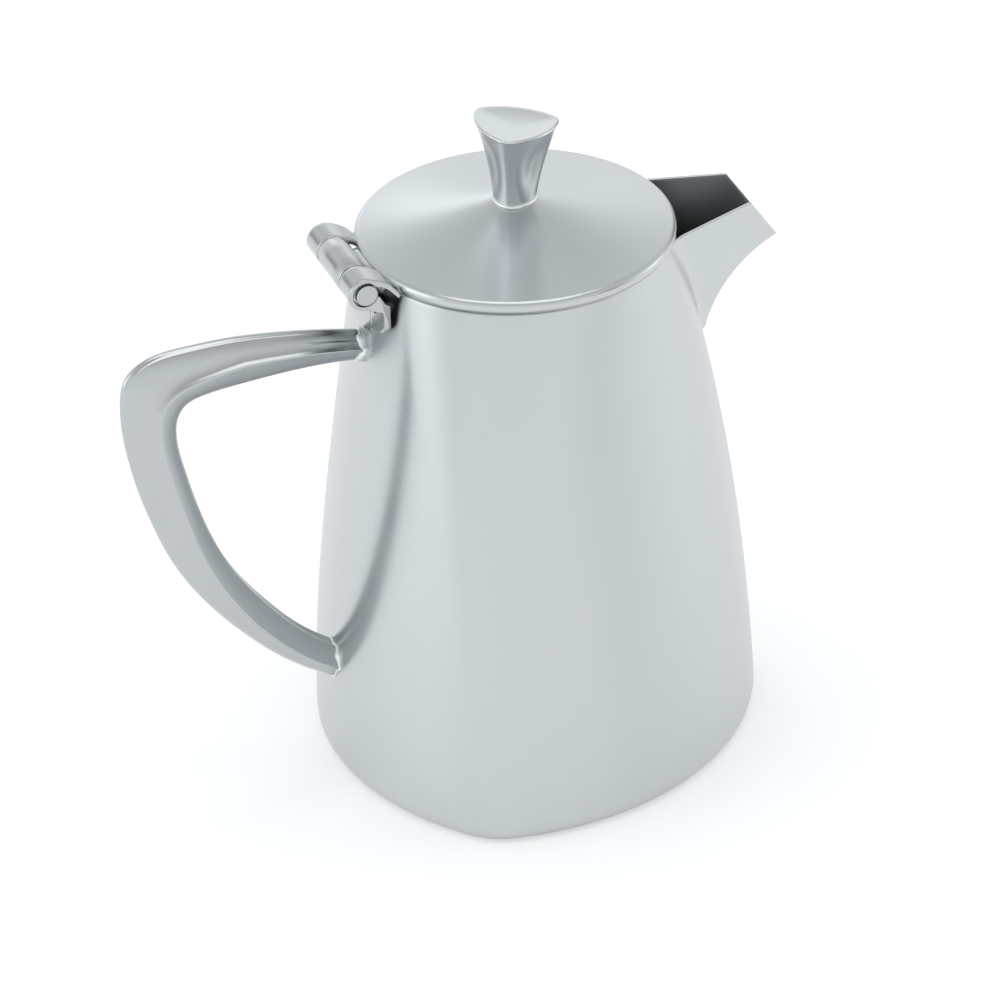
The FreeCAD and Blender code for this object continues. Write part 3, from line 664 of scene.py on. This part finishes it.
def make_knob():
    """The flaring knob with a scoop in each side, and the bead round its foot."""
    turns = np.arange(180) * 2.0 * math.pi / 180
    columns = len(turns)
    rings = []

    def section(share, inset=0.0):
        """Plan of the knob at a share of its height."""
        flare = max(share, 0.0) ** KNOB_FLARE
        corner, side, rounding = (
            low + growth * flare - inset for low, growth in (KNOB_CORNER, KNOB_SIDE, KNOB_ROUND))
        r = triangle_radius(corner, side, rounding, turns)
        scoop = min(max(share / 0.5, 0.0), 1.0) * min(max((0.97 - share) / 0.4, 0.0), 1.0)
        scoop = scoop * scoop * (3.0 - 2.0 * scoop)
        r = r - KNOB_SCOOP * scoop * (np.sin(1.5 * turns) ** 2) ** 1.2
        return r * np.cos(turns) + KNOB_LEAN * flare, r * np.sin(turns)

    def top_level(x, y, share=1.0):
        """The tilted, dished top: lowest on the spout's side, and a little lower towards +Y."""
        tilt = TILT_FORWARD * x + TILT_ASIDE * y
        return LID_CROWN + KNOB_HEIGHT + 0.5 - tilt - KNOB_DISH * (1.0 - share ** 2)

    for share in np.concatenate([[-0.02], np.linspace(0.0, 0.97, 46)]):
        x, y = section(share)
        settled = np.clip(share, 0.0, 1.0) ** 1.5
        level = LID_CROWN + KNOB_HEIGHT * share
        tilted = top_level(x, y) - KNOB_HEIGHT * (1.0 - share)
        rings.append(np.stack([x, y, level * (1.0 - settled) + tilted * settled], 1))
    edge = KNOB_EDGE
    for inset, drop in ((0.0, edge), (0.06, edge * 0.5), (0.2, edge * 0.15), (edge, 0.0)):
        x, y = section(1.0, inset)
        rings.append(np.stack([x, y, top_level(x, y) - drop], 1))
    for share in (0.9, 0.75, 0.55, 0.35, 0.15):
        x0, y0 = section(1.0, edge)
        x = KNOB_LEAN + (x0 - KNOB_LEAN) * share
        y = y0 * share
        rings.append(np.stack([x, y, top_level(x, y, share)], 1))
    points = np.concatenate(rings)
    faces = loop_faces(len(rings), columns)
    tip = float(top_level(KNOB_LEAN, 0.0, 0.0))
    points = np.concatenate([points, [[KNOB_LEAN, 0.0, tip], [0.0, 0.0, LID_CROWN - 0.3]]])
    for column in range(columns):
        following = (column + 1) % columns
        last = (len(rings) - 1) * columns
        faces.append((last + column, last + following, len(points) - 2))
        faces.append((following, column, len(points) - 1))
    points = points + np.array([LID_X, 0.0, 0.0])
    knob = make_piece("lid_knob_cast", points, outward(points, faces), knob_satin, 60)
    place(knob, "lid", ["lid_knob"])

    # The polished weld bead round the foot of the knob, its pale tint a painted sheen.
    x, y = section(0.01, -0.05)
    line = np.stack([x + LID_X, y, np.full(columns, LID_CROWN + 0.12)], 1)
    points, faces = bead(line, 0.42, 0.10, 3)
    weld = make_piece("knob_weld_bead", points, outward(points, faces), weld_painted_sheen)
    place(weld, "lid", ["knob_weld"])


def bead(line, size, unevenness, seed, squash=1.0):
    """A closed, slightly lumpy bead round a closed line; size is one radius or one for each point."""
    count = len(line)
    size = np.broadcast_to(size, count)
    around = 18
    middle = line.mean(0)
    ahead = np.roll(line, -1, 0) - np.roll(line, 1, 0)
    ahead /= np.linalg.norm(ahead, axis=1)[:, None]
    away = line - middle
    away -= ahead * (away * ahead).sum(1)[:, None]
    away /= np.linalg.norm(away, axis=1)[:, None]
    side = np.cross(ahead, away)
    rings = []
    for index in range(count):
        spot = Vector(line[index]) * 0.32 + Vector((seed * 7.3, 0, 0))
        wobble = noise.noise(spot)
        slide = noise.noise(spot + Vector((0, 31.0, 0)))
        radius = size[index] * (1.0 + unevenness * 2.0 * wobble)
        centre = line[index] + side[index] * slide * size[index] * unevenness * 2.0
        for step in range(around):
            swing = 2.0 * math.pi * step / around
            spoke = away[index] * math.cos(swing) * squash + side[index] * math.sin(swing)
            rings.append(centre + spoke * radius)
    return np.array(rings), loop_faces(count, around, closed_rows=True)


# --------------------------------------------------------------------- handle

# Stations in x and z: the outer ridge, then the inner face, from the upper end round to the lower end.
HANDLE_STATIONS = (
    (-32.5, 107.0, -32.5, 101.4), (-43.1, 109.6, -43.5, 102.6), (-54.0, 111.5, -54.5, 102.8),
    (-65.0, 112.7, -65.2, 102.3), (-76.0, 112.8, -74.2, 101.2), (-84.6, 111.6, -77.6, 99.6),
    (-89.3, 108.2, -79.0, 97.4), (-91.0, 101.5, -79.6, 94.0), (-90.8, 94.0, -79.4, 90.2),
    (-89.2, 84.0, -78.5, 85.4), (-86.4, 73.4, -76.2, 75.9), (-81.9, 61.0, -72.6, 64.8),
    (-75.2, 49.2, -67.6, 54.5), (-66.0, 37.8, -59.9, 43.6), (-55.4, 27.9, -50.7, 33.9),
    (-43.5, 20.4, -39.8, 26.4), (-36.0, 16.2, -33.0, 21.6),
)
# Half of the section: share of the half width, share of the depth from the inner face, share of edge eased.
HALF_SECTION = (
    (0.0, 1.04, 1.0), (0.44, 0.90, 1.0), (0.74, 0.60, 1.0), (1.03, 0.53, 0.28),
    (0.74, 0.18, 1.0), (0.50, -0.02, 0.28), (0.0, 0.04, 0.9),
)
# Shares of the handle's length, and the power that pulls its crease towards the inner face there.
CREASE_AT, CREASE_PULL = (0.20, 0.32, 0.55, 0.76), (1.0, 1.6, 1.6, 1.0)
END_WIDTH, MORE_WIDTH = 7.6, 2.4
# How far the handle's ends run into the pot's skin.
HANDLE_SUNK = 0.4



STATIONS = np.array(HANDLE_STATIONS)
STATION_MIDDLES = 0.5 * (STATIONS[:, :2] + STATIONS[:, 2:])
STATION_GONE = np.concatenate([[0.0], np.cumsum(np.linalg.norm(np.diff(STATION_MIDDLES, axis=0), axis=1))])
HANDLE_LENGTH = float(STATION_GONE[-1])


def handle_points(at, across, depth):
    """Points of the handle's skin at distances along it, for one place in its section."""
    spots = spline(STATION_GONE, STATIONS, at)
    width = END_WIDTH + MORE_WIDTH * np.sin(math.pi * np.clip(at / HANDLE_LENGTH, 0, 1)) ** 0.8
    # Round the bend and down the leg the crease runs closer to the inner face.
    pull = np.interp(at / HANDLE_LENGTH, CREASE_AT, CREASE_PULL)
    depth = depth ** pull if 0.0 < depth < 1.0 else np.full_like(pull, depth)
    side = spots[:, 2:] + (spots[:, :2] - spots[:, 2:]) * depth[:, None]
    return np.stack([side[:, 0], across * width * 0.5, side[:, 1]], 1)


def outside_body(points, inset):
    """Positive where points lie outside the pot's skin moved inwards by inset."""
    turn = np.arctan2(points[..., 1], points[..., 0])
    return np.hypot(points[..., 0], points[..., 1]) - body_radius(turn, points[..., 2]) + inset


def handle_meets_pot(across, depth, inset, upper):
    """Distance along the handle at which one line of its skin meets the pot's skin moved inwards."""
    at = np.linspace(0.0, HANDLE_LENGTH, 2400)
    clear = outside_body(handle_points(at, across, depth), inset)
    middle = len(at) // 2
    if upper:
        row = np.where(clear[:middle] < 0)[0].max()
    else:
        row = middle + np.where(clear[middle:] < 0)[0].min() - 1
    return at[row] + (at[row + 1] - at[row]) * clear[row] / (clear[row] - clear[row + 1])


def make_handle():
    """The cast handle and the two beads that weld it to the pot."""
    mirrored = [(-x, y, share) for x, y, share in HALF_SECTION[1:-1]][::-1]
    section = rounded_outline(list(HALF_SECTION) + mirrored, steps=7)
    columns = len(section)
    count = 300
    skin = np.zeros((count, columns, 3))
    for column, (across, depth) in enumerate(section):
        start = handle_meets_pot(across, depth, HANDLE_SUNK, True)
        end = handle_meets_pot(across, depth, HANDLE_SUNK, False)
        skin[:, column] = handle_points(np.linspace(start, end, count), across, depth)
    points = skin.reshape(-1, 3)
    faces = loop_faces(count, columns)
    faces.append(tuple(range(columns))[::-1])
    faces.append(tuple((count - 1) * columns + column for column in range(columns)))
    handle = make_piece("handle_cast", points, outward(points, faces), cast_satin, 60)
    place(handle, "pot", ["handle"])

    # The welds: above, a broad bead with a pit at each crease; below, a slim one with a lump on each side.
    # Their pale tint is a painted sheen.
    for name, upper, replaced, size, inset, flat in (
        ("handle_upper_weld_bead", True, "handle_upper_weld", 1.35, -0.45, 0.45),
        ("handle_lower_weld_bead", False, "handle_lower_weld", 0.90, -0.15, 0.80),
    ):
        closed = np.vstack([section, section[:1]])
        gone = np.concatenate([[0.0], np.cumsum(np.hypot(*(np.diff(closed, axis=0) * (1.0, 1.3)).T))])
        fine = np.linspace(0.0, gone[-1], 132, endpoint=False)
        line = []
        swell = []
        for place_in in fine:
            across = float(np.interp(place_in, gone, closed[:, 0]))
            depth = float(np.interp(place_in, gone, closed[:, 1]))
            at = handle_meets_pot(across, depth, inset, upper)
            line.append(handle_points(np.array([at]), across, depth)[0])
            if upper:
                pit = math.exp(-((depth - 0.47) / 0.07) ** 2)
                fat = (1.0 - 0.62 * pit) * (0.55 if depth > 0.93 else 1.0)
            else:
                lump = math.exp(-((depth - 0.17) / 0.13) ** 2)
                fat = 0.36 + 0.85 * lump * min(abs(across) / 0.6, 1.0) ** 2
            swell.append(size * fat)
        swell = np.array(swell)
        for _ in range(3):
            swell = (np.roll(swell, 1) + 2 * swell + np.roll(swell, -1)) / 4.0
        points, faces = bead(np.array(line), swell, 0.16, 5 if upper else 9, flat)
        weld = make_piece(name, points, outward(points, faces), weld_painted_sheen)
        place(weld, "pot", [replaced])


# ---------------------------------------------------------------------- hinge

HINGE_X, HINGE_Z = -38.95, 124.3
BARREL = 3.75
BORE = 2.84
HINGE_HALF = 13.8
KNUCKLE_HALF = 6.7
PLATE_SHEET = 1.4
PLATE_FRONT, PLATE_CURVE = -36.3, 1.35
PLATE_FLAT, PLATE_BOTTOM, PLATE_TOP = 3.6, 110.2, 120.3
HOLE_OUT = 9.2
HOLE_HEIGHT = 117.6
HOLE_RADIUS = 0.78
# The strap's upper and lower lines start here and run down to the pot at one slope.
STRAP_TOP, STRAP_LOW, STRAP_SLOPE = (-33.4, 125.65), (-33.9, 124.55), (0.66, -0.75)
STRAP_SUNK = 0.4
PIN_END, PIN_ASIDE = 2.44, 0.3


def hinge_arc(radius, first, last, steps):
    """Points about the hinge axis, in x and z, from one angle to another."""
    turns = np.radians(np.linspace(first, last, steps))
    return np.stack([HINGE_X + radius * np.cos(turns), HINGE_Z + radius * np.sin(turns)], 1)


def plate_front(y):
    """The plate bends back a little to both sides, along the wall."""
    return PLATE_FRONT + PLATE_CURVE * (y / HINGE_HALF) ** 2


def plate_bottom(y):
    """The plate's lower edge: flat over the handle, rising to rounded ends."""
    side = max(abs(y) - PLATE_FLAT, 0.0) / (HINGE_HALF - PLATE_FLAT)
    return PLATE_BOTTOM + 3.5 * side + 1.3 * side ** 9


def eased(line, share):
    """An open line in x and z with its inner corners eased."""
    return rounded_outline([(x, z, share) for x, z in line], closed=False, steps=4)


def wall_end(start, slope, y, inset):
    """The point where a line that slopes down to the pot passes its skin by an inset."""
    gone = np.linspace(0.0, 9.0, 400)
    x = start[0] + gone * slope[0]
    z = start[1] + gone * slope[1]
    line = np.stack([x, np.full(400, y), z], 1)
    stop = int(np.argmax(outside_body(line, inset) < 0.0))
    return float(x[stop]), float(z[stop])


def knuckle_slice(y):
    """Outline of the rolled sheet at a y: strap, open roll, web and plate."""
    front = plate_front(y)
    back = front + PLATE_SHEET
    low = plate_bottom(y)
    top_end = wall_end(STRAP_TOP, STRAP_SLOPE, y, STRAP_SUNK)
    low_end = wall_end(STRAP_LOW, STRAP_SLOPE, y, STRAP_SUNK)
    return np.concatenate([
        eased([top_end, low_end], 0.0),
        eased([low_end, (-33.95, 124.6), (-35.2, 125.35), tuple(hinge_arc(BORE, 31, 31, 1)[0])], 0.7)[1:],
        hinge_arc(BORE, 36, 342, 40),
        eased([
            tuple(hinge_arc(BORE + 0.06, 346, 346, 1)[0]), (-35.75, 123.2), (back - 1.0, 121.0),
            (back, 120.45), (back, 119.0), (back, low), (front, low), (front, 118.9), (-37.0, 119.75),
            tuple(hinge_arc(BARREL, 272, 272, 1)[0]),
        ], 0.5)[1:],
        hinge_arc(BARREL, 266, 84, 34),
        eased([tuple(hinge_arc(BARREL, 80, 80, 1)[0]), (-35.9, 127.15), (-33.4, 125.7), top_end], 0.7)[:-1],
    ])


def plate_slice(y):
    """Outline of the plate alone, under the lid's knuckle."""
    front = plate_front(y)
    low = plate_bottom(y)
    back = front + PLATE_SHEET
    return np.array([(back, PLATE_TOP), (back, low), (front, low), (front, PLATE_TOP)])


def inset_outline(outline, inset):
    """A closed outline in x and z moved inwards by a small distance."""
    if inset == 0.0:
        return outline
    before = outline - np.roll(outline, 1, 0)
    after = np.roll(outline, -1, 0) - outline
    turn = np.stack([-(before + after)[:, 1], (before + after)[:, 0]], 1)
    turn /= np.linalg.norm(turn, axis=1)[:, None]
    across, along = outline[:, 0], outline[:, 1]
    wound = np.sum(across * np.roll(along, -1) - along * np.roll(across, -1))
    return outline + turn * inset * (1.0 if wound > 0 else -1.0)


def sliced(shape, stations):
    """A closed solid lofted through outlines at stations of (y, inset), with flat ends."""
    rings = []
    for y, inset in stations:
        outline = inset_outline(shape(y), inset)
        rings.append(np.stack([outline[:, 0], np.full(len(outline), y), outline[:, 1]], 1))
    columns = len(rings[0])
    points = np.concatenate(rings)
    faces = loop_faces(len(rings), columns)
    faces.append(tuple(range(columns))[::-1])
    faces.append(tuple((len(rings) - 1) * columns + column for column in range(columns)))
    return points, outward(points, faces)


def chamfered(first, last, steps, ease_first=True, ease_last=True):
    """Stations from one y to another, whose end outlines are drawn in to ease the end edges."""
    stations = [(float(y), 0.0) for y in np.linspace(first, last, steps)]
    step = 1.0 if last > first else -1.0
    if ease_first:
        stations = [(first, 0.16), (first + step * 0.05, 0.07), (first + step * 0.16, 0.0)] + stations[1:]
    if ease_last:
        stations = stations[:-1] + [(last - step * 0.16, 0.0), (last - step * 0.05, 0.07), (last, 0.16)]
    return stations


def joined(parts):
    """Several closed solids as the points and faces of one piece."""
    points = []
    faces = []
    for some, more in parts:
        start = sum(len(one) for one in points)
        points.append(some)
        faces += [tuple(start + index for index in face) for face in more]
    return np.concatenate(points), faces


def drilled(points, faces, y, z):
    """A closed solid with a round hole cut through it along X."""
    solid = make_piece("solid", points, faces, sheet_satin)
    drill, sides = lathe([(0.0, -4.0), (HOLE_RADIUS, -4.0), (HOLE_RADIUS, 4.0), (0.0, 4.0)], 32, (0, 0, 0))
    drill = np.stack([drill[:, 2] - 35.6, drill[:, 0] + y, drill[:, 1] + z], 1)
    cutter = make_piece("drill", drill, outward(drill, sides), sheet_satin)
    hole = solid.modifiers.new("hole", "BOOLEAN")
    hole.operation = "DIFFERENCE"
    hole.object = cutter
    hole.solver = "EXACT"
    made = bpy.data.meshes.new_from_object(solid.evaluated_get(bpy.context.evaluated_depsgraph_get()))
    points = np.array([tuple(vertex.co) for vertex in made.vertices]) / MM
    faces = [tuple(face.vertices) for face in made.polygons]
    for extra in (solid, cutter):
        bpy.data.objects.remove(extra)
    return points, faces


def make_hinge():
    """The bracket on the pot, the lid's knuckle with its tab, and the pin through both."""
    inner = KNUCKLE_HALF + 0.3
    parts = [sliced(plate_slice, chamfered(-inner, inner, 12, False, False))]
    for side in (-1.0, 1.0):
        knuckle = sliced(knuckle_slice, chamfered(side * inner, side * HINGE_HALF, 9, True, True))
        parts.append(drilled(*knuckle, side * HOLE_OUT, HOLE_HEIGHT))
    points, faces = joined(parts)
    bracket = make_piece("hinge_bracket_folded", points, faces, sheet_satin, 38)
    place(bracket, "pot", ["hinge_bracket"])

    # The lid's knuckle: a full barrel, eased at both ends, and the short tab to the lid's edge.
    end = KNUCKLE_HALF
    profile = [
        (BORE + 0.12, -end), (BARREL - 0.16, -end), (BARREL - 0.05, -end + 0.05), (BARREL, -end + 0.16),
        (BARREL, -2.0), (BARREL, 2.0),
        (BARREL, end - 0.16), (BARREL - 0.05, end - 0.05), (BARREL - 0.16, end), (BORE + 0.12, end),
        (BORE, end - 0.12), (BORE, 0.0), (BORE, -end + 0.12),
    ]
    barrel = lathe(profile, 128, (HINGE_X, 0, HINGE_Z), "Y")
    tab = sliced(
        lambda y: rounded_outline([
            (-35.7, 125.55, 0.3), (-34.1, 125.45, 0.5), (-34.1, 124.2, 0.5), (-35.6, 124.0, 0.3)], steps=3),
        chamfered(-4.8, 4.8, 5))
    points, faces = joined([(barrel[0], outward(*barrel)), tab])
    leaf = make_piece("lid_hinge_leaf_rolled", points, faces, sheet_satin, 38)
    place(leaf, "lid", ["lid_hinge_leaf"])

    # The pin: its turned-down ends sit a little off the middle of the rolled knuckles.
    last = HINGE_HALF + 0.05
    body = [
        (1.9, PIN_ASIDE, -last), (2.3, PIN_ASIDE, -last), (2.40, PIN_ASIDE, -last + 0.06),
        (PIN_END, PIN_ASIDE, -last + 0.2), (PIN_END, PIN_ASIDE, -last + 1.3),
        (2.78, 0.0, -last + 1.3), (2.78, 0.0, 0.0),
    ]
    body += [(radius, aside, -y) for radius, aside, y in body[:-1][::-1]]
    turns = np.arange(96) * 2.0 * math.pi / 96
    points = np.concatenate([
        np.stack([HINGE_X + aside + radius * np.cos(turns), np.full(96, y),
                  HINGE_Z - 0.6 * aside + radius * np.sin(turns)], 1) for radius, aside, y in body])
    faces = loop_faces(len(body), 96)
    faces.append(tuple(range(96))[::-1])
    faces.append(tuple((len(body) - 1) * 96 + column for column in range(96)))
    pin = make_piece("hinge_pin_turned", points, outward(points, faces), plain_steel, 38)
    place(pin, "pot", ["hinge_pin"])


pot_pieces()
make_lid()
make_knob()
make_handle()
make_hinge()


# ------------------------------------------------------- floor, light, camera

def make_floor():
    """A plain pale floor that glows a little, like a light table."""
    size = 9.0
    corners = [(-size, -size, 0), (size, -size, 0), (size, size, 0), (-size, size, 0)]
    mesh = bpy.data.meshes.new("floor")
    mesh.from_pydata(corners, [], [(0, 1, 2, 3)])
    material = bpy.data.materials.new("pale_floor")
    material.use_nodes = True
    shader = material.node_tree.nodes["Principled BSDF"]
    shader.inputs["Base Color"].default_value = (0.865, 0.863, 0.868, 1)
    shader.inputs["Roughness"].default_value = 0.9
    shader.inputs["Specular IOR Level"].default_value = 0.1
    shader.inputs["Emission Color"].default_value = (1.0, 1.0, 1.0, 1)
    shader.inputs["Emission Strength"].default_value = 0.28
    mesh.materials.append(material)
    floor = bpy.data.objects.new("floor", mesh)
    bpy.context.scene.collection.objects.link(floor)


def area(name, location, target, size, power):
    """A soft rectangular lamp aimed at a point."""
    light = bpy.data.lights.new(name, "AREA")
    light.shape = "RECTANGLE"
    light.size, light.size_y = size
    light.energy = power
    lamp = bpy.data.objects.new(name, light)
    lamp.location = location
    lamp.rotation_mode = "QUATERNION"
    lamp.rotation_quaternion = (Vector(target) - Vector(location)).to_track_quat("-Z", "Y")
    bpy.context.scene.collection.objects.link(lamp)


# Soft lamps and dark gaps of the studio: direction, tightness, and brightness added to the surround.
LOBES = (
    ((-0.97, 0.20, 0.08), 12.0, 0.64),
    ((-0.93, -0.37, 0.05), 60.0, -0.30),
    ((0.995, -0.08, 0.04), 60.0, 1.35),
    ((0.73, -0.68, 0.04), 36.0, -0.95),
    ((0.80, 0.60, 0.04), 22.0, -1.0),
    ((0.115, 0.938, 0.326), 90.0, 0.62),
    ((-0.58, 0.80, 0.13), 45.0, -0.60),
    ((0.10, -0.60, 0.75), 5.0, -0.05),
    ((0.50, 0.80, 0.33), 40.0, 0.32),
)


def make_world():
    """A pale studio: brightest low down, dimmer overhead, with soft lamps and gaps round it."""
    world = bpy.data.worlds.new("studio")
    world.use_nodes = True
    tree = world.node_tree
    tree.nodes.clear()
    out = node(tree, "ShaderNodeOutputWorld")
    glow = node(tree, "ShaderNodeBackground")
    tree.links.new(glow.outputs[0], out.inputs[0])
    where = node(tree, "ShaderNodeTexCoord").outputs["Generated"]
    axes = node(tree, "ShaderNodeSeparateXYZ")
    tree.links.new(where, axes.inputs[0])
    ramp = node(tree, "ShaderNodeMapRange", interpolation_type="SMOOTHSTEP")
    ramp.inputs["From Min"].default_value = 0.0
    ramp.inputs["From Max"].default_value = 0.95
    ramp.inputs["To Min"].default_value = 1.05
    ramp.inputs["To Max"].default_value = 0.68
    tree.links.new(axes.outputs[2], ramp.inputs["Value"])
    strength = ramp.outputs[0]
    for direction, tightness, amount in LOBES:
        aim = Vector(direction).normalized()
        facing = node(tree, "ShaderNodeVectorMath", operation="DOT_PRODUCT")
        tree.links.new(where, facing.inputs[0])
        facing.inputs[1].default_value = aim
        ahead = math_node(tree, "MAXIMUM", facing.outputs["Value"], 0.0)
        strength = total(tree, strength, product(tree, math_node(tree, "POWER", ahead, tightness), amount))
    glow.inputs["Color"].default_value = (0.985, 1.0, 1.01, 1)
    tree.links.new(math_node(tree, "MAXIMUM", strength, 0.05), glow.inputs["Strength"])
    bpy.context.scene.world = world


def make_camera():
    """A long lens looking down over the handle's side, with a slight roll."""
    azimuth, elevation, roll = math.radians(-19.66), math.radians(31.32), math.radians(-2.01)
    distance = 1608.03
    right = np.array([math.cos(azimuth), math.sin(azimuth), 0.0])
    level = np.array([-math.sin(azimuth), math.cos(azimuth), 0.0])
    forward = level * math.cos(elevation) - np.array([0, 0, math.sin(elevation)])
    up = np.cross(right, forward)
    turned_right = right * math.cos(roll) + up * math.sin(roll)
    turned_up = up * math.cos(roll) - right * math.sin(roll)
    target = np.array([0, 0, 55.0]) - 5.05 * turned_right + 0.91 * turned_up
    centre = (target - forward * distance) * MM
    data = bpy.data.cameras.new("camera")
    data.sensor_width = 36.0
    data.lens = 261.6
    data.clip_start, data.clip_end = 0.05, 50.0
    camera = bpy.data.objects.new("camera", data)
    camera.matrix_world = Matrix((
        (turned_right[0], turned_up[0], -forward[0], centre[0]),
        (turned_right[1], turned_up[1], -forward[1], centre[1]),
        (turned_right[2], turned_up[2], -forward[2], centre[2]),
        (0, 0, 0, 1),
    ))
    bpy.context.scene.collection.objects.link(camera)
    bpy.context.scene.camera = camera


make_floor()
make_world()
area("softbox_above", (0.1, 0.15, 2.3), (0, 0, 0), (1.8, 1.4), 8.6)
area("softbox_left", (-1.24, 0.16, 0.5), (-0.1, 0, 0.0), (0.9, 0.9), 1.15)
make_camera()
bpy.context.scene.view_settings.view_transform = "Standard"
bpy.context.scene.view_settings.look = "None"
